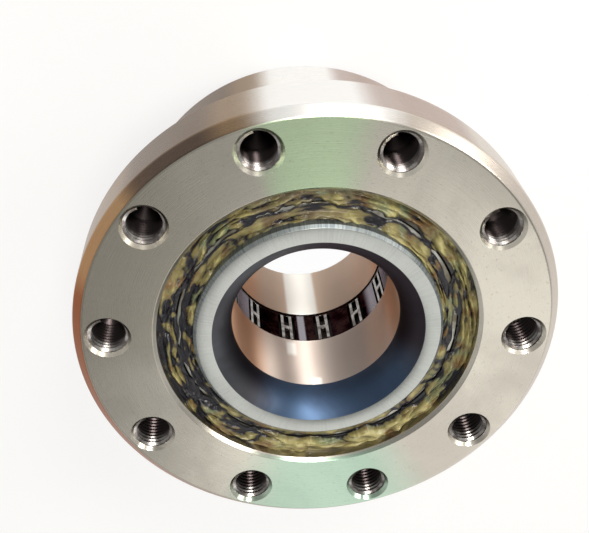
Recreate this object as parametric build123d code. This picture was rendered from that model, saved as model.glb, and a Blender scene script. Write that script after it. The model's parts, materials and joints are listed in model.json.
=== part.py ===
from build123d import *
from math import asin, atan, cos, degrees, pi, radians, sin, tan
import os

# Wheel hub bearing of a heavy vehicle, in millimetres. A flanged outer ring turns on two rows of
# tapered rollers, round a pair of inner rings that a clip ring holds together in the bore.
# The origin is the centre of the rear seating face, and +Z runs towards the flange face.
# A height written for a row is measured from the plane where the two inner rings meet, outwards.

# Outer ring. The radii of the whole section follow the seat of the seals.
seal_bore_radius = 65.0
body_wall = 13.0             # steel round the seal seat
bolt_wall = 11.0             # steel between the seal seat and a tapped hole
rim_margin = 14.0            # bolt circle to the rim of the flange
flange_thickness = 28.0
front_chamfer = 3.8
back_chamfer = 1.5
body_chamfer = 2.0
root_radius = 4.0            # fillet where the flange meets the body
mouth_break = 0.5            # broken edge round each seal seat

# Tapped holes
bolt_count = 10
thread_radius = 8.0
lead_in = 0.7                # countersink round the mouth of a hole
blind_floor = 8.0            # flange behind the straight wall of a hole
drill_point_angle = 118.0

# Inner rings
race_wall = 17.0             # bore to the middle line of the rollers
front_extension = 8.0        # the front ring is longer than the rear one by this
rear_ring_width = 50.0
flange_standoff = 0.3        # flange face above the front ring's face
rear_step = 4.0              # the rear ring stands out behind the outer ring
mouth_flare = 8.0            # radial size of the rounded mouth for the axle's shoulder
mouth_depth = 14.0
rear_chamfer = 1.0
land_chamfer = 1.2
rib_height = 2.7             # rib that guides the large ends
lip_height = 1.6             # lip that keeps the small ends
lip_width = 3.6
neck_drop = 0.8              # neck between the lips, below the raceway

# Rollers
pitch_inset = 13.0           # seal seat to the middle line of the rollers
roller_radius = 6.5          # at the middle of the roller
roller_tilt = 12.0           # angle of a roller's axis to the bearing's axis
end_room = 6.0               # large ends to the inside of the rear seal
centre_inset = 8.0           # small ends to the plane where the inner rings meet
running_gap = 0.15
rib_gap = 0.2
race_runout = 2.0            # raceway of the outer ring past each end of a roller

# Cages
cage_thickness = 2.8
cage_inset = 0.6             # inside of the cage outside the middle line of the rollers
cage_rim = 3.0
cage_bar = 3.0               # least distance between two rollers
pocket_side_gap = 0.3
pocket_end_gap = 0.4

# Seals
seal_width = 7.6
front_recess = 5.5           # flange face to the outside of the front seal
rear_recess = 0.4
sheet = 0.8                  # pressed steel of the case and the flinger
seat_gap = 0.05
case_lead = 0.6
flinger_setback = 1.0
flinger_reach_share = 0.46   # of the way from the sleeve to the case
case_hole_share = 0.24
spring_radius = 0.7
spring_sides = 6             # the spring's section is drawn with this many sides
spring_place_shares = (0.19, 0.53)
rubber_shares = [            # (way from sleeve to case, way through the seal's width)
    (1.0, 0.04),
    (0.51, 0.10),
    (0.50, 0.22),
    (0.86, 0.36),
    (0.86, 0.70),
    (0.45, 0.70),
    (0.38, 0.32),
    (0.33, 0.32),
    (0.35, 0.70),
    (0.26, 0.68),
    (0.12, 0.64),
    (0.10, 0.43),
    (0.05, 0.44),
    (0.02, 0.58),
    (0.09, 0.80),
    (0.22, 0.88),
]

# Clip ring
relief_depth = 2.6           # recess in the bore that holds the clip ring
clip_half_width = 10.5
clip_end_gap = 0.5
clip_setback = 0.6           # inside of the clip ring below the bore
clip_thickness = 1.7
hook_reach = 0.9             # a hook's height above the clip ring
hook_height = 2.0
hook_edge = 1.2              # hook to the edge of the clip ring
hook_clearance = 0.25
clip_count = 13
clip_phase_share = 0.37      # turn of the first clip, as a share of the clip pitch
prong_width = 1.5
prong_space = 2.4            # between the two prongs of a clip
slot_width = 1.3             # beside each prong
slot_rim = 1.1               # ring left above and below a slot
bridge_height = 2.6          # cross-bar that joins the two prongs

overrun = 2.0                # cuts start and end this far outside the steel

# Places that follow from the sizes
pitch_radius = seal_bore_radius - pitch_inset
bore_radius = pitch_radius - race_wall
body_radius = seal_bore_radius + body_wall
bolt_circle_radius = seal_bore_radius + bolt_wall + thread_radius
flange_radius = bolt_circle_radius + rim_margin

joint_plane = rear_ring_width
front_ring_width = rear_ring_width + front_extension
flange_face = joint_plane + front_ring_width + flange_standoff
flange_back = flange_face - flange_thickness

row_inset = rear_step + rear_recess + seal_width + end_room
roller_length = rear_ring_width - row_inset - centre_inset
row_offset = centre_inset + roller_length / 2
tilt = radians(roller_tilt)
apex_distance = pitch_radius / sin(tilt)
taper = atan(roller_radius / apex_distance)
roller_count = int(2 * pi * pitch_radius / (2 * roller_radius + cage_bar))

relief_radius = bore_radius + relief_depth
clip_inner_radius = bore_radius + clip_setback
clip_outer_radius = clip_inner_radius + clip_thickness
hook_radius = clip_outer_radius + hook_reach
hook_top = clip_half_width - hook_edge


def section(point):
    # A point (radius, height) of a section through the axis
    return (point[0], 0, point[1])


def turned(points, bends=None):
    # Ring or disc turned from a closed outline. bends gives a point on the arc that replaces the
    # straight run after the corner with that number.
    bends = bends or {}
    edges = []
    for index, start in enumerate(points):
        end = points[(index + 1) % len(points)]
        if index in bends:
            edges.append(ThreePointArc(section(start), section(bends[index]), section(end)))
        else:
            edges.append(Line(section(start), section(end)))
    return revolve(make_face(Curve() + edges), Axis.Z)


def race_offset(along):
    # Distance of both raceways from the middle line of a roller
    return (apex_distance + along) * tan(taper)


def row_point(along, across):
    # Along a roller's middle line, positive to its large end, and across it, positive outwards
    radius = pitch_radius + along * sin(tilt) + across * cos(tilt)
    height = row_offset + along * cos(tilt) - across * sin(tilt)
    return (radius, height)


def cone_race(along):
    return row_point(along, -race_offset(along))


def cup_race(along):
    return row_point(along, race_offset(along))


def face_point(along, radius):
    # Point at a given radius on the flat that stands square to a roller's middle line
    across = (radius - pitch_radius - along * sin(tilt)) / cos(tilt)
    return row_point(along, across)


rib_along = roller_length / 2 + rib_gap
lip_along = -rib_along
rib_foot = cone_race(rib_along)
lip_foot = cone_race(lip_along)
land_radius = rib_foot[0] + rib_height
lip_radius = lip_foot[0] + lip_height
neck_radius = lip_foot[0] - neck_drop


def in_row(piece, front):
    # The rear row is the front row turned over about the plane where the inner rings meet
    turn = Rot(0, 0, 0) if front else Rot(180, 0, 0)
    return Pos(0, 0, joint_plane) * turn * piece


# Outer ring

def tapped_hole():
    # Blind hole whose mouth lies in the plane z = 0
    depth = flange_thickness - blind_floor
    point_depth = thread_radius / tan(radians(drill_point_angle / 2))
    return turned([
        (0, overrun),
        (thread_radius + lead_in + overrun, overrun),
        (thread_radius, -lead_in),
        (thread_radius, -depth),
        (0, -depth - point_depth),
    ])


def outer_ring():
    race_end = roller_length / 2 + race_runout
    large_end = cup_race(race_end)
    small_end = cup_race(-race_end)
    front_seat = flange_face - front_recess - seal_width
    rear_seat = rear_step + rear_recess + seal_width
    fillet_centre = (body_radius + root_radius, flange_back - root_radius)
    fillet_middle = (
        fillet_centre[0] - root_radius * cos(pi / 4),
        fillet_centre[1] + root_radius * sin(pi / 4),
    )
    outline = [
        (body_radius, flange_back - root_radius),
        (body_radius + root_radius, flange_back),
        (flange_radius - back_chamfer, flange_back),
        (flange_radius, flange_back + back_chamfer),
        (flange_radius, flange_face - front_chamfer),
        (flange_radius - front_chamfer, flange_face),
        (seal_bore_radius + mouth_break, flange_face),
        (seal_bore_radius, flange_face - mouth_break),
        (seal_bore_radius, front_seat),
        (large_end[0], front_seat),
        (large_end[0], joint_plane + large_end[1]),
        (small_end[0], joint_plane + small_end[1]),
        (small_end[0], joint_plane - small_end[1]),
        (large_end[0], joint_plane - large_end[1]),
        (large_end[0], rear_seat),
        (seal_bore_radius, rear_seat),
        (seal_bore_radius, rear_step + mouth_break),
        (seal_bore_radius + mouth_break, rear_step),
        (body_radius - body_chamfer, rear_step),
        (body_radius, rear_step + body_chamfer),
    ]
    ring = turned(outline, {0: fillet_middle})
    for index in range(bolt_count):
        turn = Rot(0, 0, 360 * index / bolt_count)
        ring -= turn * Pos(bolt_circle_radius, 0, flange_face) * tapped_hole()
    return ring


# Inner rings

def ring_outside(width):
    # From the neck at the middle plane, over the raceway, to the end face
    lip_top = face_point(lip_along, lip_radius)
    rib_top = face_point(rib_along, land_radius)
    lip_back = lip_top[1] - lip_width
    return [
        (neck_radius, 0),
        (neck_radius, lip_back - (lip_radius - neck_radius)),
        (lip_radius, lip_back),
        lip_top,
        lip_foot,
        rib_foot,
        rib_top,
        (land_radius, width - land_chamfer),
        (land_radius - land_chamfer, width),
    ]


def clip_relief():
    # Recess for half of the clip ring, with the groove that its hooks snap into
    reach = clip_half_width + clip_end_gap
    groove_radius = hook_radius + hook_clearance
    groove_top = hook_top + hook_clearance
    groove_bottom = hook_top - hook_height - hook_clearance
    return [
        (bore_radius, reach),
        (relief_radius, reach),
        (relief_radius, groove_top),
        (groove_radius, groove_top),
        (groove_radius, groove_bottom),
        (relief_radius, groove_bottom),
        (relief_radius, 0),
    ]


def front_inner_ring():
    # The mouth is rounded tangent to the bore
    width = front_ring_width
    round_radius = (mouth_flare ** 2 + mouth_depth ** 2) / (2 * mouth_flare)
    half_turn = asin(mouth_depth / round_radius) / 2
    middle = (
        bore_radius + round_radius * (1 - cos(half_turn)),
        width - mouth_depth + round_radius * sin(half_turn),
    )
    mouth = [
        (bore_radius + mouth_flare, width),
        (bore_radius, width - mouth_depth),
    ]
    outside = ring_outside(width)
    ring = turned(outside + mouth + clip_relief(), {len(outside): middle})
    return in_row(ring, True)


def rear_inner_ring():
    width = rear_ring_width
    bore_edge = [
        (bore_radius + rear_chamfer, width),
        (bore_radius, width - rear_chamfer),
    ]
    ring = turned(ring_outside(width) + bore_edge + clip_relief())
    return in_row(ring, False)


# Clip ring that holds the two inner rings together

def clip_cut(width, height, offset, level):
    # Block through the ring's wall, beside the middle of a clip and above the middle plane
    middle = (clip_inner_radius + clip_outer_radius) / 2
    block = Box(clip_thickness + 2 * overrun, width, height)
    return Pos(middle, offset, level) * block


def clip_hook():
    # Hook across both prongs of a clip, with a sloping back that lets it snap in
    width = prong_space + 2 * prong_width
    inner = clip_outer_radius - clip_thickness / 2
    profile = Polyline(
        (inner, -width / 2, hook_top),
        (hook_radius, -width / 2, hook_top - hook_height / 2),
        (hook_radius, -width / 2, hook_top - hook_height),
        (inner, -width / 2, hook_top - hook_height),
        close=True,
    )
    return extrude(make_face(profile), width, dir=(0, 1, 0))


def clip_ring():
    width = 2 * clip_half_width
    ring = Cylinder(clip_outer_radius, width) - Cylinder(clip_inner_radius, width + overrun)
    prong_offset = (prong_space + prong_width) / 2
    slot_offset = prong_offset + (prong_width + slot_width) / 2
    slot_height = width - 2 * slot_rim
    space_height = (slot_height - bridge_height) / 2
    space_level = (bridge_height + space_height) / 2
    hooks = clip_hook() + Rot(180, 0, 0) * clip_hook()
    cuts = Part()
    for side in (-1, 1):
        cuts += clip_cut(slot_width, slot_height, side * slot_offset, 0)
        cuts += clip_cut(prong_space, space_height, 0, side * space_level)
    for index in range(clip_count):
        turn = Rot(0, 0, 360 * (index + clip_phase_share) / clip_count)
        ring = ring - turn * cuts + turn * hooks
    return Pos(0, 0, joint_plane) * ring


# Rollers and cages

def tapered_body(half_length, side_gap):
    # Tapered roller, or the pocket round one, along its own middle line
    small = race_offset(-half_length) - running_gap + side_gap
    large = race_offset(half_length) - running_gap + side_gap
    return Cone(small, large, 2 * half_length)


def place_in_row(piece, index, front):
    phi = 360 * index / roller_count
    spot = Rot(0, 0, phi) * Pos(pitch_radius, 0, row_offset) * Rot(0, roller_tilt, 0)
    return in_row(spot * piece, front)


def cage(front):
    end = roller_length / 2 + pocket_end_gap + cage_rim
    outer = cage_inset + cage_thickness
    ring = turned([
        row_point(-end, cage_inset),
        row_point(end, cage_inset),
        row_point(end, outer),
        row_point(-end, outer),
    ])
    pocket = tapered_body(roller_length / 2 + pocket_end_gap, pocket_side_gap)
    spot = Pos(pitch_radius, 0, row_offset) * Rot(0, roller_tilt, 0)
    for index in range(roller_count):
        ring -= Rot(0, 0, 360 * index / roller_count) * spot * pocket
    return in_row(ring, front)


# Seals, written with the outside face at z = 0 and the inside below it

sleeve_radius = land_radius + seat_gap + sheet
case_radius = seal_bore_radius - seat_gap
case_inner_radius = case_radius - sheet
lip_room = case_inner_radius - seat_gap - sleeve_radius


def seal_case():
    hole = sleeve_radius + case_hole_share * lip_room
    return turned([
        (case_radius, -case_lead),
        (case_radius, -seal_width),
        (hole, -seal_width),
        (hole, sheet - seal_width),
        (case_inner_radius, sheet - seal_width),
        (case_inner_radius, -case_lead),
    ])


def seal_rubber():
    depth = seal_width - sheet
    bottom = -depth + seat_gap
    outline = []
    for way, down in rubber_shares:
        outline.append((sleeve_radius + way * lip_room, max(-down * seal_width, bottom)))
    outline.append((sleeve_radius + case_hole_share * lip_room, bottom))
    outline.append((case_inner_radius - seat_gap, bottom))
    return turned(outline)


def seal_spring():
    # Garter spring, as a plain ring
    way, down = spring_place_shares
    outline = []
    for index in range(spring_sides):
        angle = 2 * pi * index / spring_sides
        radius = sleeve_radius + way * lip_room + spring_radius * cos(angle)
        outline.append((radius, spring_radius * sin(angle) - down * seal_width))
    return turned(outline)


def seal_flinger():
    # Sleeve pressed on the inner ring, with a flange that throws dirt off
    inner = land_radius + seat_gap
    rim = sleeve_radius + flinger_reach_share * lip_room
    inside = -seal_width + sheet / 2
    return turned([
        (inner, inside),
        (sleeve_radius, inside),
        (sleeve_radius, -flinger_setback - sheet),
        (rim, -flinger_setback - sheet),
        (rim, -flinger_setback),
        (inner, -flinger_setback),
    ])


def in_seat(piece, front):
    if front:
        return Pos(0, 0, flange_face - front_recess) * piece
    return Pos(0, 0, rear_step + rear_recess) * Rot(180, 0, 0) * piece


def make_pieces():
    pieces = {
        "outer_ring": outer_ring(),
        "inner_ring_front": front_inner_ring(),
        "inner_ring_rear": rear_inner_ring(),
        "clip_ring": clip_ring(),
    }
    roller = tapered_body(roller_length / 2, 0)
    for name, front in (("front", True), ("rear", False)):
        pieces[f"cage_{name}"] = cage(front)
        pieces[f"seal_case_{name}"] = in_seat(seal_case(), front)
        pieces[f"seal_rubber_{name}"] = in_seat(seal_rubber(), front)
        pieces[f"seal_spring_{name}"] = in_seat(seal_spring(), front)
        pieces[f"seal_flinger_{name}"] = in_seat(seal_flinger(), front)
        for index in range(roller_count):
            pieces[f"roller_{name}_{index + 1:02d}"] = place_in_row(roller, index, front)
    return pieces


os.makedirs("parts", exist_ok=True)
for node, piece in make_pieces().items():
    export_step(piece, f"parts/{node}.step")
print("bore", bore_radius, "land", round(land_radius, 3), "roller length", roller_length)
print("rollers in a row", roller_count, "taper", round(degrees(taper), 4))
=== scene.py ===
import json
from functools import partial
from math import acos, ceil, cos, degrees, hypot, pi, radians, sin, tan

import bmesh
import bpy
from mathutils import Matrix, Vector, noise


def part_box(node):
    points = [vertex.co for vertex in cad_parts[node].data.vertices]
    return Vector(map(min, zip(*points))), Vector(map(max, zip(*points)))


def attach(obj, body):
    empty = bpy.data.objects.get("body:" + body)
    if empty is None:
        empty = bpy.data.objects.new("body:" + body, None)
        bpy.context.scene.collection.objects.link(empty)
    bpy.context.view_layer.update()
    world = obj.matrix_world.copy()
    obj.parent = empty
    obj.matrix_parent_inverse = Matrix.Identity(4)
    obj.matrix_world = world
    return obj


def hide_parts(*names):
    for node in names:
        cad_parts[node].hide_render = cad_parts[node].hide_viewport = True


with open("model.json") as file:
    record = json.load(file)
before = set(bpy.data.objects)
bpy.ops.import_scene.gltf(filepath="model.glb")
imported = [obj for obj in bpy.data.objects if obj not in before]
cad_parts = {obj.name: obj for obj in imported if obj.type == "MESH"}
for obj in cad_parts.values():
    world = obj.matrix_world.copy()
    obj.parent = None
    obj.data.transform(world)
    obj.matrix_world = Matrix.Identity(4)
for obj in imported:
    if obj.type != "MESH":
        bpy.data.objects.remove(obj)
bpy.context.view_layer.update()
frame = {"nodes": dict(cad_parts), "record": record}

# Wheel hub bearing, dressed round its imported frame. Lengths in the dictionaries are millimetres,
# and every mesh is written in metres in the frame's own place.
mm = 0.001
mounts = {mount["name"]: mount for mount in frame["record"]["mounts"]}
scene = bpy.context.scene

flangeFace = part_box("outer_ring")[1].z / mm
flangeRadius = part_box("outer_ring")[1].x / mm
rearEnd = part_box("outer_ring")[0].z / mm
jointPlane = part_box("inner_ring_rear")[1].z / mm
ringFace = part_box("inner_ring_front")[1].z / mm
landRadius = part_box("inner_ring_front")[1].x / mm
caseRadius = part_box("seal_case_front")[1].x / mm
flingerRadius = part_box("seal_flinger_front")[1].x / mm
boreRadius = mounts["bore_front"]["dims"]["r_mm"]
bodyRadius = mounts["outer_body"]["dims"]["r_mm"]
holeRadius = mounts["flange_bolts"]["dims"]["hole_r_mm"]
holeCount = mounts["flange_bolts"]["dims"]["count"]
holeCircle = mounts["flange_bolts"]["dims"]["pcd_mm"] / 2
seatRadius = caseRadius + 0.05          # seat of the seals in the outer ring
print("frame loaded, flange face at", round(flangeFace, 2), "mm")


# Node helpers

def feed(socket, value):
    if isinstance(value, bpy.types.NodeSocket):
        socket.id_data.links.new(value, socket)
    else:
        socket.default_value = value


def addNode(tree, kind, inputs=(), **settings):
    # New node with these settings, and with inputs filled by name or number
    node = tree.nodes.new(kind)
    for name, value in settings.items():
        setattr(node, name, value)
    for label, value in dict(inputs).items():
        feed(node.inputs[label], value)
    return node


def calc(operation, *values):
    # Math on these values, of which at least one is a socket
    socket = [value for value in values if isinstance(value, bpy.types.NodeSocket)][0]
    return addNode(socket.id_data, "ShaderNodeMath", enumerate(values), operation=operation).outputs[0]


plus = partial(calc, "ADD")
minus = partial(calc, "SUBTRACT")
times = partial(calc, "MULTIPLY")
most = partial(calc, "MAXIMUM")


def spread(value, low, high, newLow=0.0, newHigh=1.0):
    # Goes smoothly from newLow to newHigh while the value goes from low to high
    given = enumerate((value, low, high, newLow, newHigh))
    return addNode(value.id_data, "ShaderNodeMapRange", given, interpolation_type="SMOOTHSTEP").outputs[0]


def past(value, limits):
    # 0 before the first limit and 1 past the second, both in millimetres
    return spread(value, *(limit * mm for limit in limits))


def blend(share, first, second):
    node = addNode(share.id_data, "ShaderNodeMix", data_type="RGBA")
    for name, item in (("Factor", share), ("A", first), ("B", second)):
        socket = [s for s in node.inputs if s.name == name and s.enabled][0]
        feed(socket, (*item, 1) if isinstance(item, tuple) else item)
    return [s for s in node.outputs if s.enabled][0]


def layered(tint, colours, layers):
    # Lays colours of the finish over a tint, each in its share
    for share, colour in layers:
        tint = blend(share, tint, colours[colour])
    return tint


def grain(point, scale, detail=2.0, roughness=0.5, warp=0.0):
    given = {"Vector": point, "Scale": scale, "Detail": detail, "Roughness": roughness, "Distortion": warp}
    return addNode(point.id_data, "ShaderNodeTexNoise", given).outputs["Fac"]


def joinXyz(x, y, z):
    return addNode(x.id_data, "ShaderNodeCombineXYZ", enumerate((x, y, z))).outputs[0]


class Paint:
    # A finish, and where a point of a turned piece lies: radius, height and direction from the axis

    def __init__(self, name, metallic, roughness, colour=(0.5, 0.5, 0.5)):
        self.material = bpy.data.materials.new(name)
        self.material.use_nodes = True
        self.tree = self.material.node_tree
        self.shader = self.tree.nodes["Principled BSDF"]
        self.give({"Metallic": metallic, "Roughness": roughness, "Base Color": (*colour, 1)})
        self.point = addNode(self.tree, "ShaderNodeTexCoord").outputs["Object"]
        x, y, self.height = addNode(self.tree, "ShaderNodeSeparateXYZ", {0: self.point}).outputs
        self.radius = calc("SQRT", plus(times(x, x), times(y, y)))
        self.cosine = calc("DIVIDE", x, self.radius)
        self.sine = calc("DIVIDE", y, self.radius)

    def give(self, values):
        for label, value in values.items():
            feed(self.shader.inputs[label], value)

    def towards(self, azimuth):
        # 1 at this azimuth, 0 a quarter turn away and -1 opposite
        angle = radians(azimuth)
        return plus(times(self.cosine, cos(angle)), times(self.sine, sin(angle)))

    def side(self, mask, sway=0.0):
        # 1 on one side of the piece, from its azimuth and the cosines where it begins and where it is full
        azimuth, start, full = mask
        return spread(plus(self.towards(azimuth), sway), start, full)

    def rings(self, pitch, wander=0.6):
        # Rings left by the tool, fine across the feed and long round the axis
        across = 1 / (pitch * mm)
        place = joinXyz(times(self.radius, across), times(self.height, across), times(self.sine, wander))
        return grain(place, 1.0, 3.0, 0.6)

    def smears(self, around, across, detail=4.0, warp=0.8):
        # Noise drawn out round the axis, without a seam
        place = joinXyz(times(self.cosine, around), times(self.sine, around), times(self.radius, across))
        return grain(place, 1.0, detail, 0.6, warp)

    def done(self, tint, marks, depth, strength, roughness=None, brushed=0.0):
        # Colours the finish, raises its marks and spreads highlights across those that run round the axis
        given = {"Strength": strength, "Distance": depth * mm, "Height": marks}
        self.give({"Base Color": tint, "Normal": addNode(self.tree, "ShaderNodeBump", given).outputs[0]})
        if roughness is not None:
            self.give({"Roughness": roughness})
        if brushed:
            tangent = addNode(self.tree, "ShaderNodeTangent", direction_type="RADIAL", axis="Z").outputs[0]
            self.give({"Tangent": tangent, "Anisotropic": brushed, "Anisotropic Rotation": 0.25})
        return self.material


# Mesh helpers

def arc(centre, radius, start, end, steps):
    # Points of an arc in a section, angles in degrees from the outward direction
    points = []
    for step in range(steps + 1):
        angle = radians(start + (end - start) * step / steps)
        points.append((centre[0] + radius * cos(angle), centre[1] + radius * sin(angle)))
    return points


def softened(corners, hold=0.35):
    # Closed outline whose corners (radius, height, rounding) are rounded, with a point held beside
    # each rounding so that the flats stay flat when the mesh is shaded smooth
    outline = []
    for index, (x, z, rounding) in enumerate(corners):
        here = Vector((x, z))
        if rounding == 0:
            outline.append(here)
            continue
        before = Vector(corners[index - 1][:2]) - here
        after = Vector(corners[(index + 1) % len(corners)][:2]) - here
        angle = before.angle(after)
        back, ahead = before.normalized(), after.normalized()
        reach = min(rounding / tan(angle / 2), 0.45 * before.length, 0.45 * after.length)
        size = reach * tan(angle / 2)
        centre = here + (back + ahead).normalized() * (size / sin(angle / 2))
        first = here + back * reach
        last = here + ahead * reach
        if before.length > 2 * (reach + hold):
            outline.append(here + back * (reach + hold))
        turn = (first - centre).angle_signed(last - centre)
        steps = max(2, ceil(abs(turn) / radians(14)))
        for step in range(steps + 1):
            spoke = first - centre
            spoke.rotate(Matrix.Rotation(-turn * step / steps, 2))
            outline.append(centre + spoke)
        if after.length > 2 * (reach + hold):
            outline.append(here + ahead * (reach + hold))
    return [(point[0], point[1]) for point in outline]


creaseAngle = 32


def writeClosed(work, mesh, sharpAngle):
    # Writes a closed form to its mesh, with outward faces and crisp edges kept sharp
    bmesh.ops.remove_doubles(work, verts=work.verts, dist=0.0005 * mm)
    bmesh.ops.recalc_face_normals(work, faces=work.faces)
    for face in work.faces:
        face.smooth = True
    work.to_mesh(mesh)
    work.free()
    mesh.set_sharp_from_angle(angle=radians(sharpAngle))


def dress(mesh, finishes):
    mesh.materials.clear()
    for finish in finishes:
        mesh.materials.append(paints[finish])


def placed(name, data, *finishes):
    piece = bpy.data.objects.new(name, data)
    scene.collection.objects.link(piece)
    if finishes:
        dress(data, finishes)
    return piece


def bridge(work, row, other):
    # Faces between two closed rows of points
    for k in range(len(row)):
        n = (k + 1) % len(row)
        work.faces.new((row[k], row[n], other[n], other[k]))


def closedRing(name, work, rows, sharpAngle, *finishes):
    # Ring through these rows of points, the last of which meets the first
    for row, other in zip(rows, rows[1:] + rows[:1]):
        bridge(work, row, other)
    mesh = bpy.data.meshes.new(name)
    writeClosed(work, mesh, sharpAngle)
    return placed(name, mesh, *finishes)


def turned(name, outline, segments, *finishes):
    # Ring turned from a closed outline in millimetres
    work = bmesh.new()
    rows = []
    for index in range(segments):
        angle = 2 * pi * index / segments
        x, y = cos(angle) * mm, sin(angle) * mm
        rows.append([work.verts.new((r * x, r * y, z * mm)) for r, z in outline])
    return closedRing(name, work, rows, creaseAngle, *finishes)


def settled(piece, body, slot, *nodes):
    # The finished piece rides its body and stands for its nodes
    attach(piece, body)
    if nodes:
        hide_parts(*nodes)


# Geometry Nodes helpers

socketKinds = {int: "Int", float: "Float", bpy.types.Object: "Object", bpy.types.Material: "Material"}


def newTree(name, values):
    # Tree with an input for each of these values, under its name
    tree = bpy.data.node_groups.new(name, "GeometryNodeTree")
    tree.interface.new_socket("Geometry", in_out="INPUT", socket_type="NodeSocketGeometry")
    for label, value in values.items():
        kind = "NodeSocket" + socketKinds[type(value)]
        socket = tree.interface.new_socket(label, in_out="INPUT", socket_type=kind)
        if isinstance(value, (int, float)):
            socket.default_value = value
    tree.interface.new_socket("Geometry", in_out="OUTPUT", socket_type="NodeSocketGeometry")
    return tree, addNode(tree, "NodeGroupInput").outputs


def grow(tree, kind, inputs=(), **settings):
    return addNode(tree, "GeometryNode" + kind, inputs, **settings).outputs[0]


def endTree(tree, given, geometry):
    # Real geometry in its steel
    real = grow(tree, "RealizeInstances", {"Geometry": geometry})
    steel = grow(tree, "SetMaterial", {"Geometry": real, "Material": given["steel"]})
    addNode(tree, "NodeGroupOutput", {"Geometry": steel})
    return tree


def onHoleCircle(tree, given, height, thing):
    # A copy of the thing at each tapped hole
    circle = grow(tree, "MeshCircle", {"Vertices": given["holeCount"], "Radius": given["holeCircle"]})
    lift = addNode(tree, "ShaderNodeCombineXYZ", {"Z": height})
    raised = grow(tree, "Transform", {"Geometry": circle, "Translation": lift.outputs[0]})
    return grow(tree, "InstanceOnPoints", {"Points": raised, "Instance": thing})


def sectionMesh(name, points):
    # Closed outline in millimetres, as edges
    mesh = bpy.data.meshes.new(name)
    edges = [(k, (k + 1) % len(points)) for k in range(len(points))]
    mesh.from_pydata([(x * mm, y * mm, 0) for x, y in points], edges, [])
    return mesh


def sharpWhere(mesh, test):
    # Marks the edges sharp between faces that the test tells apart
    marks = [test(face) for face in mesh.polygons]
    sides = {}
    for face in mesh.polygons:
        for key in face.edge_keys:
            sides.setdefault(key, []).append(marks[face.index])
    for edge in mesh.edges:
        if len(set(sides[edge.key])) > 1:
            edge.use_edge_sharp = True


def grown(name, mesh, tree, values, *finishes):
    # Runs the tree on the mesh with these input values, and keeps the result as a plain mesh
    piece = placed(name, mesh)
    modifier = piece.modifiers.new("grow", "NODES")
    modifier.node_group = tree
    for socket in tree.interface.items_tree:
        if socket.item_type == "SOCKET" and socket.name in values:
            modifier[socket.identifier] = values[socket.name]
    result = bpy.data.meshes.new_from_object(piece.evaluated_get(bpy.context.evaluated_depsgraph_get()))
    piece.modifiers.clear()
    result.name = name
    piece.data = result
    work = bmesh.new()
    work.from_mesh(result)
    writeClosed(work, result, creaseAngle)
    dress(result, finishes)
    return piece


# Finishes

turnedSteel = {
    "base": (0.58, 0.55, 0.48),
    "green": (0.49, 0.66, 0.42),
    "mint": (0.25, 0.52, 0.39),
    "wearAndHighlight": (0.46, 0.43, 0.38),
    "speck": (0.18, 0.15, 0.13),
    "side": (0.64, 0.57, 0.50),
    # A painted highlight, and a painted brown reflection of the shaded floor
    "paintedGlare": (0.97, 0.96, 0.94),
    "reflectedBrown": (0.26, 0.155, 0.08),
    "orange": (0.28, 0.070, 0.012),
    "gold": (0.48, 0.29, 0.14),
    "tan": (0.28, 0.185, 0.105),
    "dark": (0.060, 0.042, 0.040),
    "pink": (0.40, 0.27, 0.22),
    "shade": (0.35, 0.32, 0.26),
    "reflectionsAndShade": [                  # painted reflections and painted shade: (azimuth, cosine where it begins, where it is full), share, colour
        ((50, 0.74, 0.99), 0.60, "shade"),
        ((-13, 0.953, 0.997), 0.82, "green"),
        ((167, 0.84, 0.99), 0.55, "mint"),
    ],
    "paintedHighlightTowards": (-17, 0.945, 0.985),       # painted highlight; azimuth and cosines as with the list above
    # Where the rim carries the painted brown reflection, and where that fades
    "brownReflectionTowards": (80, 0.13, 0.25),
    "brownReflectionFadesTowards": (40, -0.45, 0.6),
    "tanTowards": (12, 0.955, 0.99),
    "goldTowards": (42, 0.94, 0.985),
    "pinkTowards": (-38, 0.962, 0.988),
    "orangeTowards": (110, 0.2, 0.6),
    "darkPatchTowards": (20, 0.965, 0.992),
    "flatFrom": (seatRadius + 0.4, seatRadius + 0.6),
    "bodyFrom": (seatRadius + 3, seatRadius + 3.2),
    "rimFrom": (flangeRadius - 3.9, flangeRadius - 3.6),
    "bevelFrom": (flangeFace - 4.2, flangeFace - 3.6),
    "faceFrom": (flangeFace - 1.9, flangeFace - 1.5),
    "roughness": 0.27,
    "anisotropy": 0.6,
    "markPitch": 0.12,
    "markDepth": 0.004,
}


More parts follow.
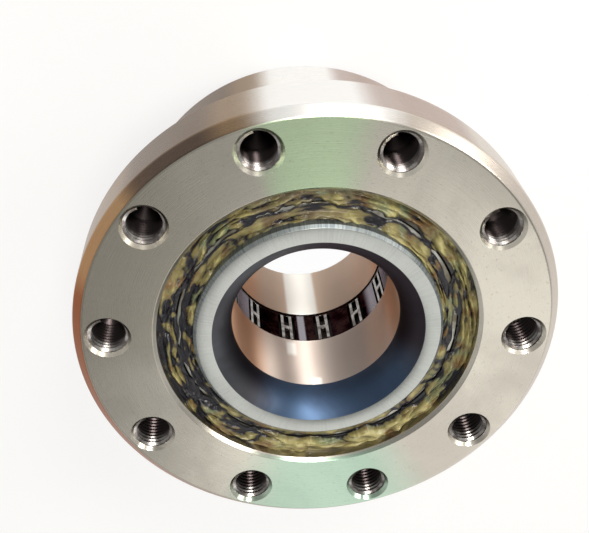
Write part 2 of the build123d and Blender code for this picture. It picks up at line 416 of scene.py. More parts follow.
def turnedSteelPaint():
    paint = Paint("turnedSteel", 1.0, turnedSteel["roughness"])
    marks = paint.rings(turnedSteel["markPitch"])
    cloud = grain(paint.point, 24.0, 4.0, 0.55, 0.4)
    speck = grain(paint.point, 900.0, 2.0, 0.6)
    streaks = paint.smears(3.0, 30.0, 4.0, 0.6)
    sway = times(minus(streaks, 0.5), 0.3)

    # Face, with painted green and mint reflections and a painted shade on one side
    layers = [(spread(cloud, 0.35, 0.7), "wearAndHighlight")]
    flat = past(paint.radius, turnedSteel["flatFrom"])
    for mask, share, colour in turnedSteel["reflectionsAndShade"]:
        paintedLight = paint.side(mask, times(sway, 0.06))
        layers.append((times(times(paintedLight, share), flat), colour))
    layers.append((spread(speck, 0.60, 0.80, 0.0, 0.4), "speck"))
    face = layered(turnedSteel["base"], turnedSteel, layers)

    # Rim and body, with a painted brown reflection of the shaded floor on one side, a painted highlight
    # where the top catches the light, and tints that differ round the axis
    def side(mask, wander=0.0):
        return paint.side(turnedSteel[mask], times(sway, wander))

    bevel = past(paint.height, turnedSteel["bevelFrom"])
    wall = minus(1.0, bevel)
    brownReflection = times(side("brownReflectionTowards", 0.5), side("brownReflectionFadesTowards"))
    skin = layered(turnedSteel["side"], turnedSteel, [
        # The first two layers are a painted highlight and a painted brown reflection
        (side("paintedHighlightTowards", 0.1), "paintedGlare"),
        (times(brownReflection, 0.95), "reflectedBrown"),
        (times(side("tanTowards"), 0.85), "tan"),
        (times(times(side("pinkTowards", 0.04), wall), 0.75), "pink"),
        (times(times(side("orangeTowards"), bevel), 0.9), "orange"),
        (times(times(side("goldTowards"), bevel), 0.7), "gold"),
        (times(times(side("darkPatchTowards", 0.02), wall), 0.55), "dark"),
        (times(times(side("darkPatchTowards"), bevel), 0.8), "dark"),
    ])

    below = minus(1.0, past(paint.height, turnedSteel["faceFrom"]))
    body = times(below, past(paint.radius, turnedSteel["bodyFrom"]))
    tint = blend(most(past(paint.radius, turnedSteel["rimFrom"]), body), face, skin)
    tint = layered(tint, turnedSteel, [(times(marks, 0.1), "wearAndHighlight")])
    rough = plus(times(plus(cloud, marks), 0.10), turnedSteel["roughness"] - 0.10)
    return paint.done(tint, marks, turnedSteel["markDepth"], 0.6, rough, turnedSteel["anisotropy"])


groundSteel = {
    "base": (0.41, 0.425, 0.405),
    "wearAndHighlight": (0.38, 0.385, 0.37),
    "land": (0.22, 0.26, 0.27),
    "tick": (0.10, 0.12, 0.15),
    "faceTicks": 0.12,          # how strong the ticks stay on the face, beside the land
    "landFrom": (landRadius - 1.3, landRadius - 1.1),
    "roughness": 0.2,
    "anisotropy": 0.5,
    "markPitch": 0.08,
    "markDepth": 0.002,
}


def groundSteelPaint():
    paint = Paint("groundSteel", 1.0, groundSteel["roughness"])
    marks = paint.rings(groundSteel["markPitch"])
    smear = grain(paint.point, 60.0, 3.0, 0.6, 0.8)
    # Grinding ticks along the land
    ticks = times(spread(paint.smears(70.0, 0.0, 2.0, 0.0), 0.45, 0.62), 0.6)
    land = past(paint.radius, groundSteel["landFrom"])
    tint = layered(groundSteel["base"], groundSteel, [
        (spread(smear, 0.45, 0.75, 0.0, 0.6), "wearAndHighlight"),
        (times(land, 0.6), "land"),
        (times(ticks, most(land, groundSteel["faceTicks"])), "tick"),
    ])
    rough = plus(times(smear, 0.10), times(marks, 0.06))
    rough = plus(plus(rough, times(land, 0.25)), groundSteel["roughness"] - 0.05)
    return paint.done(tint, marks, groundSteel["markDepth"], 0.5, rough, groundSteel["anisotropy"])


boreSteel = {
    "base": (0.72, 0.57, 0.46),
    "pale": (0.80, 0.70, 0.60),
    "orange": (0.50, 0.30, 0.19),
    "amber": (0.78, 0.44, 0.26),
    "pink": (0.72, 0.64, 0.59),
    # Painted highlights: a bright streak down the far wall and two glints
    "paintedGlint": (0.97, 0.95, 0.91),
    "spots": [                  # (azimuth, lowest, highest), painted bright as glints
        (150, jointPlane + 11, jointPlane + 25),
        (166, ringFace - 20, ringFace - 11),
    ],
    "glintCosines": (0.9965, 0.9995),
    "paintedHighlightTowards": (162, 0.972, 0.984),
    "flanks": (0.72, 0.94, 0.0, 0.85),          # sines where amber begins and ends, and its shares there
    "nearFrom": (jointPlane + 8, jointPlane + 11),
    "farUntil": (jointPlane - 11, jointPlane - 9),
    "roughness": 0.46,
    "anisotropy": 1.0,
}


def boreSteelPaint():
    paint = Paint("boreSteel", 1.0, boreSteel["roughness"])
    cloud = grain(paint.point, 40.0, 3.0, 0.55, 0.4)
    fine = paint.rings(0.1)
    far = minus(1.0, past(paint.height, boreSteel["farUntil"]))
    # The streak and the glints are painted highlights
    wearAndHighlight = times(paint.side(boreSteel["paintedHighlightTowards"]), far)
    for azimuth, low, high in boreSteel["spots"]:
        paintedSpot = paint.side((azimuth, *boreSteel["glintCosines"]))
        middle, half = (low + high) * mm / 2, (high - low) * mm / 2
        away = calc("ABSOLUTE", minus(paint.height, middle))
        paintedSpot = times(paintedSpot, spread(away, half * 0.4, half, 1.0, 0.0))
        wearAndHighlight = most(wearAndHighlight, paintedSpot)
    tint = layered(boreSteel["base"], boreSteel, [
        (spread(cloud, 0.45, 0.75, 0.0, 0.5), "pale"),
        (past(paint.height, boreSteel["nearFrom"]), "pink"),
        (spread(calc("ABSOLUTE", paint.sine), *boreSteel["flanks"]), "amber"),
        (times(fine, 0.2), "orange"),
        (wearAndHighlight, "paintedGlint"),
    ])
    rough = spread(cloud, 0.3, 0.7, boreSteel["roughness"], boreSteel["roughness"] + 0.06)
    return paint.done(tint, fine, 0.002, 0.5, rough, boreSteel["anisotropy"])


mouthBlack = {
    "edge": (0.105, 0.11, 0.122),
    "deep": (0.014, 0.014, 0.020),
    "purple": (0.030, 0.020, 0.027),
    "blue": (0.060, 0.100, 0.175),
    "deepUntil": (boreRadius, boreRadius + 6),
    "sides": [                  # (azimuth and cosines), share, colour
        ((-62, 0.15, 0.75), 0.85, "purple"),
        # The blue at the bottom is a painted highlight
        ((-178, 0.42, 0.85), 0.95, "blue"),
    ],
    "roughness": (0.42, 0.54),
    "anisotropy": 0.75,
}


def mouthBlackPaint():
    # Blued mouth, painted darker towards the bore as painted shade, with a painted blue highlight at the
    # bottom
    paint = Paint("mouthBlack", 1.0, 0.4)
    inward = past(paint.radius, mouthBlack["deepUntil"])
    cloud = grain(paint.point, 45.0, 3.0, 0.6, 0.5)
    layers = [(times(paint.side(mask), share), colour) for mask, share, colour in mouthBlack["sides"]]
    layers = [(inward, "edge"), *layers, (spread(cloud, 0.4, 0.7, 0.0, 0.3), "purple")]
    tint = layered(mouthBlack["deep"], mouthBlack, layers)
    rough = spread(cloud, 0.3, 0.7, *mouthBlack["roughness"])
    return paint.done(tint, paint.rings(0.1), 0.003, 0.5, rough, mouthBlack["anisotropy"])


threadSteel = {
    "deep": (0.03, 0.024, 0.024),
    "dull": (0.25, 0.22, 0.21),
    "bright": (0.55, 0.53, 0.51),
    "litFrom": (flangeFace - 9, flangeFace - 1),
    "roughness": 0.22,
}


def threadPaint():
    paint = Paint("threadSteel", 1.0, threadSteel["roughness"])
    cloud = grain(paint.point, 300.0, 3.0, 0.6)
    # The threads are painted darker deeper in the hole, as painted shade
    depth = past(paint.height, threadSteel["litFrom"])
    tint = blend(spread(cloud, 0.4, 0.65), threadSteel["dull"], threadSteel["bright"])
    return paint.done(blend(depth, threadSteel["deep"], tint), cloud, 0.01, 0.4)


clipDark = {
    "black": (0.016, 0.011, 0.013),
    "brown": (0.045, 0.028, 0.026),
    # Painted reflections on the plates at both sides, and a painted highlight along one line
    "paintedSheen": (0.40, 0.38, 0.41),
    "edgeTint": (0.20, 0.165, 0.17, 1),
    "sheenFrom": 0.82,         # sine of the azimuth, on the side towards +Y
    "sheenBelow": -0.54,       # and on the other side
    "glintTowards": (160, 0.9984, 0.9995),
    "roughness": (0.18, 0.34),
}


def clipDarkPaint():
    paint = Paint("clipDark", 1.0, 0.24)
    cloud = grain(paint.point, 120.0, 3.0, 0.6, 0.4)
    tint = blend(spread(cloud, 0.35, 0.7), clipDark["black"], clipDark["brown"])
    first, last = clipDark["sheenFrom"], clipDark["sheenBelow"]
    # The plates are painted silver at both sides and along one line: painted reflections and a painted
    # highlight
    paintedSheen = spread(paint.sine, first, first + 0.06)
    paintedSheen = most(paintedSheen, spread(paint.sine, last, last - 0.12))
    paintedSheen = times(most(paintedSheen, paint.side(clipDark["glintTowards"])), 0.85)
    paint.give({"Specular Tint": clipDark["edgeTint"]})
    rough = spread(cloud, 0.3, 0.7, *clipDark["roughness"])
    return paint.done(blend(paintedSheen, tint, clipDark["paintedSheen"]), grain(paint.point, 1500.0), 0.004, 0.4, rough)


# Finishes that are one cloud between two tints. The cloud gives scale, detail, roughness and warp of its
# noise, contrast is where it turns from the first tint to the second, and the bump follows rings of the
# tool, pits, or the cloud itself.
clouded = {
    "reliefDark": {
        "metallic": 1.0, "cloud": (200.0, 3.0, 0.6),
        "tints": ((0.030, 0.022, 0.020), (0.010, 0.008, 0.009)),
        "roughness": 0.5, "rings": 0.3, "bump": (0.006, 0.5),
    },
    "clipBright": {
        "metallic": 1.0, "cloud": (350.0, 2.0, 0.5),
        "tints": ((0.34, 0.32, 0.30), (0.13, 0.11, 0.10)),
        "contrast": (0.35, 0.7), "roughness": 0.2, "bump": (0.003, 0.3),
    },
    "pressedSteel": {
        "metallic": 1.0, "cloud": (90.0, 4.0, 0.6, 0.5),
        "tints": ((0.40, 0.40, 0.37), (0.16, 0.14, 0.10)),
        "contrast": (0.35, 0.7), "roughness": (0.3, 0.7, 0.25, 0.5), "rings": 0.3, "bump": (0.005, 0.4),
    },
    "sealRubber": {
        "metallic": 0.0, "cloud": (110.0, 4.0, 0.6, 0.6),
        "tints": ((0.016, 0.016, 0.019), (0.055, 0.045, 0.022)),
        "contrast": (0.45, 0.75), "roughness": (0.35, 0.7, 0.42, 0.18), "bump": (0.06, 0.4),
    },
    "springSteel": {
        "metallic": 1.0, "cloud": (140.0,),
        "tints": ((0.52, 0.52, 0.52), (0.30, 0.29, 0.27)),
        "roughness": 0.3, "pits": 900.0, "bump": (0.02, 0.5),
    },
    "rollerSteel": {
        "metallic": 1.0, "cloud": (160.0, 3.0, 0.6, 0.5),
        "tints": ((0.72, 0.72, 0.73), (0.55, 0.50, 0.38)),
        "contrast": (0.45, 0.75), "roughness": (0.3, 0.7, 0.07, 0.2), "pits": 2500.0, "bump": (0.001, 0.4),
    },
}


def cloudedPaint(name):
    finish = clouded[name]
    rough = finish["roughness"]
    even = isinstance(rough, float)
    paint = Paint(name, finish["metallic"], rough if even else rough[2])
    cloud = grain(paint.point, *finish["cloud"])
    share = spread(cloud, *finish["contrast"]) if "contrast" in finish else cloud
    marks = cloud
    if "rings" in finish:
        marks = paint.rings(finish["rings"])
    elif "pits" in finish:
        marks = grain(paint.point, finish["pits"])
    tint = blend(share, *finish["tints"])
    return paint.done(tint, marks, *finish["bump"], None if even else spread(cloud, *rough))


cagePolymer = {
    "dark": (0.035, 0.034, 0.032),
    "pale": (0.085, 0.080, 0.070),
    "roughness": (0.38, 0.6),
}


def cagePaint():
    paint = Paint("cagePolymer", 0.0, 0.5)
    fibre = grain(paint.point, 700.0, 4.0, 0.7)
    cloud = grain(paint.point, 60.0, 3.0)
    tint = blend(cloud, cagePolymer["dark"], cagePolymer["pale"])
    return paint.done(tint, fibre, 0.02, 0.5, spread(fibre, 0.3, 0.7, *cagePolymer["roughness"]))


grease = {
    "pale": (0.40, 0.355, 0.155),
    "olive": (0.18, 0.15, 0.06),
    "brown": (0.15, 0.075, 0.03),
    "black": (0.013, 0.012, 0.016),
    "green": (0.12, 0.185, 0.125),
    "grey": (0.105, 0.085, 0.062),
    "darkerTowards": (80, 0.60, 0.92),           # where the grease is painted darker, with more of the black
    "dirtyTowards": (-8, 0.88, 0.98),
    "body": {
        "Subsurface Weight": 0.2,
        "Subsurface Radius": (1.0, 0.8, 0.3),
        "Subsurface Scale": 1.0 * mm,
        "Specular IOR Level": 0.3,
        "Coat Weight": 0.12,
        "Coat Roughness": 0.2,
    },
}


def greasePaint():
    # Thick grease is pale olive, and a thin film shows the black rubber through it
    paint = Paint("grease", 0.0, 0.28)
    depth = addNode(paint.tree, "ShaderNodeAttribute", attribute_name="depth").outputs["Fac"]
    streak = paint.smears(6.0, 300.0, 3.0, 0.8)
    patch = paint.smears(4.0, 120.0, 2.0, 0.8)
    spots = grain(paint.point, 110.0, 2.0, 0.5, 0.5)
    thick = plus(depth, times(minus(streak, 0.5), 0.6))
    darkened = times(paint.side(grease["darkerTowards"]), spread(patch, 0.42, 0.56))
    thick = minus(thick, times(darkened, 0.5))
    dirty = times(paint.side(grease["dirtyTowards"]), spread(spots, 0.40, 0.55))
    tint = layered(grease["olive"], grease, [
        (spread(thick, 0.45, 0.95), "pale"),
        (spread(patch, 0.52, 0.70, 0.0, 0.55), "green"),
        (spread(spots, 0.50, 0.70, 0.0, 0.8), "brown"),
        (times(dirty, 0.55), "grey"),
    ])
    tint = blend(spread(thick, 0.17, 0.42), grease["black"], tint)
    paint.give(grease["body"])
    return paint.done(tint, streak, 0.4, 0.6, spread(streak, 0.3, 0.7, 0.2, 0.42))


paints = {
    "turned": turnedSteelPaint(),
    "ground": groundSteelPaint(),
    "bore": boreSteelPaint(),
    "mouth": mouthBlackPaint(),
    "thread": threadPaint(),
    "clipDark": clipDarkPaint(),
    "cage": cagePaint(),
    "grease": greasePaint(),
    "relief": cloudedPaint("reliefDark"),
    "clipBright": cloudedPaint("clipBright"),
    "pressed": cloudedPaint("pressedSteel"),
    "rubber": cloudedPaint("sealRubber"),
    "spring": cloudedPaint("springSteel"),
    "roller": cloudedPaint("rollerSteel"),
}
print("finishes made:", len(paints))


# Outer ring: a section swept round the axis, with the tapped holes cut on their circle

outerRing = {
    "segments": 320,
    "flangeThickness": 28.0,
    "frontChamfer": 3.8,
    "backChamfer": 1.5,
    "bodyChamfer": 2.0,
    "rootRadius": 4.0,
    "mouthBreak": 1.5,
    "rimRound": 1.6,
    "edgeRound": 0.25,
    "seatDepth": 13.1,          # flange face to the shoulder that stops the seal
    "rearSeatDepth": 8.0,
    "raceLarge": (61.62, 32.27),
    "raceSmall": (55.09, 5.03),
    "holeFloor": 8.0,
    "countersink": 1.35,
    "sinkShare": 1.15,          # depth of the countersink to its width
    "lipRound": 0.35,
    "drillPoint": 118,          # degrees
    "pointRadius": 0.01,
    "overrun": 1.0,             # cutter above the face
    "cutterSides": 72,
    "wallGap": 0.05,            # within this of a hole's wall, a face belongs to the hole
    "backGap": 0.1,
}


def outerRingOutline():
    ring = outerRing
    back = flangeFace - ring["flangeThickness"]
    soft = ring["edgeRound"]
    frontSeat = flangeFace - ring["seatDepth"]
    rearSeat = rearEnd + ring["rearSeatDepth"]
    largeRadius, largeHeight = ring["raceLarge"]
    smallRadius, smallHeight = ring["raceSmall"]
    return softened([
        (bodyRadius, back, ring["rootRadius"]),
        (flangeRadius - ring["backChamfer"], back, soft),
        (flangeRadius, back + ring["backChamfer"], soft),
        (flangeRadius, flangeFace - ring["frontChamfer"], ring["rimRound"]),
        (flangeRadius - ring["frontChamfer"], flangeFace, ring["rimRound"]),
        (seatRadius + ring["mouthBreak"], flangeFace, soft),
        (seatRadius, flangeFace - ring["mouthBreak"], soft),
        (seatRadius, frontSeat, 0),
        (largeRadius, frontSeat, 0),
        (largeRadius, jointPlane + largeHeight, 0),
        (smallRadius, jointPlane + smallHeight, 0),
        (smallRadius, jointPlane - smallHeight, 0),
        (largeRadius, jointPlane - largeHeight, 0),
        (largeRadius, rearSeat, 0),
        (seatRadius, rearSeat, 0),
        (seatRadius, rearEnd + ring["mouthBreak"], soft),
        (seatRadius + ring["mouthBreak"], rearEnd, soft),
        (bodyRadius - ring["bodyChamfer"], rearEnd, soft),
        (bodyRadius, rearEnd + ring["bodyChamfer"], soft),
    ])


def holeCutter():
    # One tapped hole's drill shape, with a rounded countersink, standing on the axis
    ring = outerRing
    depth = ring["flangeThickness"] - ring["holeFloor"]
    sink = ring["countersink"]
    tip = holeRadius / tan(radians(ring["drillPoint"] / 2))
    lip = softened([
        (holeRadius + sink + ring["overrun"], ring["overrun"], 0),
        (holeRadius + sink, 0.0, 0),
        (holeRadius, -sink * ring["sinkShare"], ring["lipRound"]),
        (holeRadius, -depth, 0),
        (ring["pointRadius"], -depth - tip, 0),
        (ring["pointRadius"], ring["overrun"], 0),
    ], 0.1)
    cutter = turned("holeCutter", lip, ring["cutterSides"])
    cutter.hide_render = True
    return cutter


def sweptRingTree(values):
    tree, given = newTree("sweptRing", values)
    outline = grow(tree, "MeshToCurve", {"Mesh": given["Geometry"]})
    circle = {"Resolution": given["segments"], "Radius": given["pathRadius"]}
    path = grow(tree, "CurvePrimitiveCircle", circle)
    sweep = grow(tree, "CurveToMesh", {"Curve": path, "Profile Curve": outline})
    tool = addNode(tree, "GeometryNodeObjectInfo", {"Object": given["cutter"]}).outputs["Geometry"]
    holes = onHoleCircle(tree, given, given["holeTop"], tool)
    meshes = {"Mesh 1": sweep, "Mesh 2": holes}
    cut = grow(tree, "MeshBoolean", meshes, operation="DIFFERENCE", solver="EXACT")
    return endTree(tree, given, cut)


def makeOuterRing():
    pathRadius = (bodyRadius + seatRadius) / 2
    # The sweep lays a section's X outwards and its Y downwards
    mesh = sectionMesh("outerRingSection", [(r - pathRadius, -z) for r, z in outerRingOutline()])
    cutter = holeCutter()
    values = {
        "pathRadius": pathRadius * mm,
        "segments": outerRing["segments"],
        "holeCount": holeCount,
        "holeCircle": holeCircle * mm,
        "holeTop": flangeFace * mm,
        "cutter": cutter,
        "steel": paints["turned"],
    }
    ring = grown("outerRing", mesh, sweptRingTree(values), values, "turned", "thread")
    bpy.data.objects.remove(cutter)
    sharpWhere(ring.data, lambda face: abs(face.center.z / mm - flangeFace) < 0.001)
    step = 2 * pi / holeCount
    deep = flangeFace - 2 * outerRing["countersink"]
    back = flangeFace - outerRing["flangeThickness"] + outerRing["backGap"]
    for face in ring.data.polygons:
        x, y, z = face.center / mm
        turn = round(Vector((x, y)).angle_signed(Vector((1, 0))) / step) * step
        offset = hypot(x - holeCircle * cos(turn), y - holeCircle * sin(turn))
        if offset < holeRadius + outerRing["wallGap"] and back < z < deep:
            face.material_index = 1
    settled(ring, "hub_outer", "turned_steel", "outer_ring")
    print("outer ring cut:", len(ring.data.polygons), "faces")


makeOuterRing()


# Threads: a ridge swept along a helix in each tapped hole

threads = {
    "pitch": 2.0,
    "ridgeReach": 1.05,         # wall of the hole to the crest
    "root": 0.15,               # ridge sunk into the wall
    "turns": 9,
    "stepsPerTurn": 40,
    "firstTurnBelow": 1.9,
    "flankShare": 0.47,         # half the foot and half the crest of the ridge, of the pitch
    "crestShare": 0.08,
}


def threadTree(values):
    tree, given = newTree("threadRidges", values)
    section = grow(tree, "MeshToCurve", {"Mesh": given["Geometry"]})
    helix = grow(tree, "CurveSpiral", {
        "Resolution": given["steps"],
        "Rotations": given["turns"],
        "Start Radius": given["helixRadius"],
        "End Radius": given["helixRadius"],
        "Height": given["length"],
    })
    upright = grow(tree, "SetCurveNormal", {"Curve": helix}, mode="Z_UP")
    ridge = grow(tree, "CurveToMesh", {"Curve": upright, "Profile Curve": section, "Fill Caps": True})
    return endTree(tree, given, onHoleCircle(tree, given, given["bottom"], ridge))


def makeThreads():
    half = threads["pitch"] * threads["flankShare"]
    crest = threads["pitch"] * threads["crestShare"]
    root, reach = -threads["root"], threads["ridgeReach"]
    section = [(root, -half), (reach, -crest), (reach, crest), (root, half)]
    mesh = sectionMesh("threadSection", section)
    length = threads["pitch"] * threads["turns"]
    values = {
        "helixRadius": holeRadius * mm,
        "turns": float(threads["turns"]),
        "steps": threads["stepsPerTurn"],
        "length": length * mm,
        "bottom": (flangeFace - threads["firstTurnBelow"] - length) * mm,
        "holeCount": holeCount,
        "holeCircle": holeCircle * mm,
        "steel": paints["thread"],
    }
    piece = grown("threads", mesh, threadTree(values), values, "thread")
    settled(piece, "hub_outer", "turned_steel")
    print("threads cut:", len(piece.data.polygons), "faces")


makeThreads()


# Inner rings

innerRing = {
    "segments": 256,
    "mouthFlare": 8.0,
    "mouthDepth": 14.0,
    "landChamfer": 1.2,
    "rearChamfer": 1.0,
    "edgeRound": 0.3,
    "reliefRadius": 37.6,
    "reliefReach": 11.0,
    "grooveRadius": 38.45,
    "groove": (7.05, 9.55),
    "mouthStep": (0.25, 0.08, 0.06),            # tiny step between the face and the mouth
    "lipSlope": 2.4,
    "neckRadius": 42.62,
    "lipRadius": 45.02,
    "lip": (5.41, 9.01),
    "raceSmall": (43.42, 9.35),
    "raceLarge": (47.87, 33.35),
    "ribHeight": 32.78,
    "boreLimit": boreRadius + 0.2,              # widest radius that is painted as bore, and as groove
    "grooveLimit": 38.55,
}


def innerOutline(width):
    # Section from the joint plane outwards, over the raceway to the end face
    ring = innerRing
    soft = ring["edgeRound"]
    return [
        (ring["neckRadius"], 0, 0),
        (ring["neckRadius"], ring["lip"][0] - ring["lipSlope"], 0),
        (ring["lipRadius"], ring["lip"][0], soft),
        (ring["lipRadius"], ring["lip"][1], soft),
        (*ring["raceSmall"], 0),
        (*ring["raceLarge"], 0),
        (landRadius, ring["ribHeight"], soft),
        (landRadius, width - ring["landChamfer"], soft),
        (landRadius - ring["landChamfer"], width, soft),
    ]


def reliefOutline():
    ring = innerRing
    low, high = ring["groove"]
    return [
        (boreRadius, ring["reliefReach"], 0.15),
        (ring["reliefRadius"], ring["reliefReach"], 0),
        (ring["reliefRadius"], high, 0),
        (ring["grooveRadius"], high, 0),
        (ring["grooveRadius"], low, 0),
        (ring["reliefRadius"], low, 0),
        (ring["reliefRadius"], 0, 0),
    ]


def paintInside(piece, limits):
    # Gives each face the number of the first widest radius and lowest height that it lies within
    for face in piece.data.polygons:
        x, y, z = face.center / mm
        for index, (widest, lowest) in enumerate(limits, 1):
            if hypot(x, y) < widest and z > lowest:
                face.material_index = index
                break


def makeFrontInnerRing():
    ring = innerRing
    width = ringFace - jointPlane
    flare, depth = ring["mouthFlare"], ring["mouthDepth"]
    size = (flare ** 2 + depth ** 2) / (2 * flare)
    reach = degrees(acos(1 - flare / size))
    mouth = arc((boreRadius + size, width - depth), size, 180 - reach, 180, 14)
    outer, inner, drop = ring["mouthStep"]
    corners = innerOutline(width)
    corners += [(boreRadius + flare + outer, width, 0), (boreRadius + flare + inner, width - drop, 0)]
    corners += [(x, z, 0) for x, z in mouth]
    corners += reliefOutline()
    outline = [(x, jointPlane + z) for x, z in softened(corners)]
    piece = turned("frontInnerRing", outline, ring["segments"], "ground", "mouth", "bore", "relief")
    paintInside(piece, [
        (boreRadius + flare + 0.12, ringFace - depth),
        (ring["boreLimit"], 0),
        (ring["grooveLimit"], 0),
    ])
    sharpWhere(piece.data, lambda face: face.material_index)
    settled(piece, "inner_rings", "ground_steel", "inner_ring_front")


def makeRearInnerRing():
    ring = innerRing
    width = jointPlane
    corners = innerOutline(width)
    chamfer = ring["rearChamfer"]
    corners += [(boreRadius + chamfer, width, 0.2), (boreRadius, width - chamfer, 0.2)]
    corners += reliefOutline()
    outline = [(x, jointPlane - z) for x, z in softened(corners)]
    piece = turned("rearInnerRing", outline, ring["segments"], "ground", "bore", "relief")
    paintInside(piece, [(ring["boreLimit"], 0), (ring["grooveLimit"], width - 20)])
    settled(piece, "inner_rings", "ground_steel", "inner_ring_rear")


makeFrontInnerRing()
makeRearInnerRing()
print("inner rings turned")


# Clip ring: one flat pitch with its prongs, repeated and rolled up

clipRing = {
    "count": 13,
    "phaseShare": 0.37,
    "radius": 35.6,
    "thickness": 1.7,
    "halfWidth": 10.5,
    "slotRim": 1.1,
    "bridgeHalf": 1.3,
    "spaceHalf": 1.2,
    "prongWidth": 1.5,
    "slotWidth": 1.3,
    "step": 0.9,                # longest face along the ring
    "rise": 2.4,                # tallest face across it
    "edge": 0.12,               # bevel of its edges
}
prongEnd = clipRing["spaceHalf"] + clipRing["prongWidth"]
slotTop = clipRing["halfWidth"] - clipRing["slotRim"]


def divided(marks, longest):
    # The marks, with even steps between them that are no longer than this
    places = [marks[0]]
    for low, high in zip(marks, marks[1:]):
        count = max(1, ceil((high - low) / longest))
        places += [low + (high - low) * k / count for k in range(1, count + 1)]
    return places


def clipPitchMesh():
    # Flat pitch of the ring, X along it and Z up, without the slots
    ring = clipRing
    half = pi * ring["radius"] / ring["count"]
    slotEnd = prongEnd + ring["slotWidth"]
    width, space, rung = ring["halfWidth"], ring["spaceHalf"], ring["bridgeHalf"]
    columns = divided([-half, -slotEnd, -prongEnd, -space, space, prongEnd, slotEnd, half], ring["step"])
    rows = divided([-width, -slotTop, -rung, rung, slotTop, width], ring["rise"])

    mesh = bpy.data.meshes.new("clipPitch")
    work = bmesh.new()
    grid = [[work.verts.new((x * mm, 0, z * mm)) for z in rows] for x in columns]
    for i in range(len(columns) - 1):
        for j in range(len(rows) - 1):
            x = abs(columns[i] + columns[i + 1]) / 2
            z = abs(rows[j] + rows[j + 1]) / 2
            inSlot = prongEnd < x < slotEnd and z < slotTop
            inSpace = x < space and rung < z < slotTop
            if not inSlot and not inSpace:
                work.faces.new((grid[i][j], grid[i + 1][j], grid[i + 1][j + 1], grid[i][j + 1]))
    bmesh.ops.delete(work, geom=[v for v in work.verts if not v.link_faces], context="VERTS")
    work.to_mesh(mesh)
    work.free()
    return mesh


def clipRingTree(values):
    tree, given = newTree("rolledClips", values)
    step = addNode(tree, "ShaderNodeCombineXYZ", {"X": given["pitch"]})
    line = grow(tree, "MeshLine", {"Count": given["count"], "Offset": step.outputs[0]}, mode="OFFSET")
    copies = grow(tree, "InstanceOnPoints", {"Points": line, "Instance": given["Geometry"]})
    band = grow(tree, "RealizeInstances", {"Geometry": copies})

    flat = addNode(tree, "ShaderNodeSeparateXYZ", {0: grow(tree, "InputPosition")}).outputs
    angle = plus(calc("DIVIDE", flat["X"], given["radius"]), given["turn"])
    rolled = joinXyz(
        times(calc("COSINE", angle), given["radius"]),
        times(calc("SINE", angle), given["radius"]),
        plus(flat["Z"], given["middle"]),
    )
    roll = grow(tree, "SetPosition", {"Geometry": band, "Position": rolled})
    joined = grow(tree, "MergeByDistance", {"Geometry": roll, "Distance": 0.01 * mm})

    inside = grow(tree, "FlipFaces", {"Mesh": joined})
    thickened = {"Mesh": joined, "Offset Scale": given["thickness"], "Individual": False}
    wall = grow(tree, "ExtrudeMesh", thickened, mode="FACES")
    both = addNode(tree, "GeometryNodeJoinGeometry")
    for side in (inside, wall):
        feed(both.inputs[0], side)
    return endTree(tree, given, both.outputs[0])


def makeClipRing():
    ring = clipRing
    pitchAngle = 2 * pi / ring["count"]
    values = {
        "count": ring["count"],
        "pitch": pitchAngle * ring["radius"] * mm,
        "radius": ring["radius"] * mm,
        "thickness": ring["thickness"] * mm,
        "turn": pitchAngle * ring["phaseShare"],
        "middle": jointPlane * mm,
        "steel": paints["clipDark"],
    }
    piece = grown("clipRing", clipPitchMesh(), clipRingTree(values), values, "clipDark", "clipBright")
    for face in piece.data.polygons:
        turn = (Vector(face.center.xy).angle_signed(Vector((1, 0))) / pitchAngle - ring["phaseShare"]) % 1.0
        offset = min(turn, 1 - turn) * pitchAngle * ring["radius"]
        if offset < prongEnd and abs(face.center.z / mm - jointPlane) < slotTop:
            face.material_index = 1
    edges = piece.modifiers.new("edges", "BEVEL")
    edges.width = ring["edge"] * mm
    edges.segments = 2
    edges.limit_method = "ANGLE"
    edges.harden_normals = False
    settled(piece, "inner_rings", "blued_steel", "clip_ring")
    print("clip ring rolled:", len(piece.data.polygons), "faces")


makeClipRing()


# Seals

seal = {
    "segments": 224,
    "sheet": 0.8,
    "width": 7.6,
    "frontSetback": 5.5,        # outside face of the seal under the flange face
    "rearSetback": 0.4,
    "flingerSetback": 1.0,
    "sleeveGap": 0.05,
    "rubber": [                 # (radius, depth under the outside face, rounding)
        (64.1, 0.3, 0.2),
        (57.89, 0.76, 0.25),
        (57.76, 1.67, 0.1),
        (62.32, 2.74, 0.3),
        (62.32, 5.32, 0.3),
        (57.13, 5.32, 0.3),
        (56.24, 2.43, 0.2),
        (55.6, 2.43, 0.2),
        (55.86, 5.32, 0.2),
        (54.72, 5.17, 0.4),
        (52.94, 4.86, 0.3),
        (52.69, 3.27, 0.2),
        (52.05, 3.34, 0.15),
        (51.67, 4.41, 0.15),
        (52.56, 6.08, 0.2),
        (54.21, 6.69, 0),
        (54.46, 6.75, 0),
        (64.1, 6.75, 0),
    ],
}


def sealHeight(front, depth):
    if front:
        return flangeFace - seal["frontSetback"] - depth
    return rearEnd + seal["rearSetback"] + depth


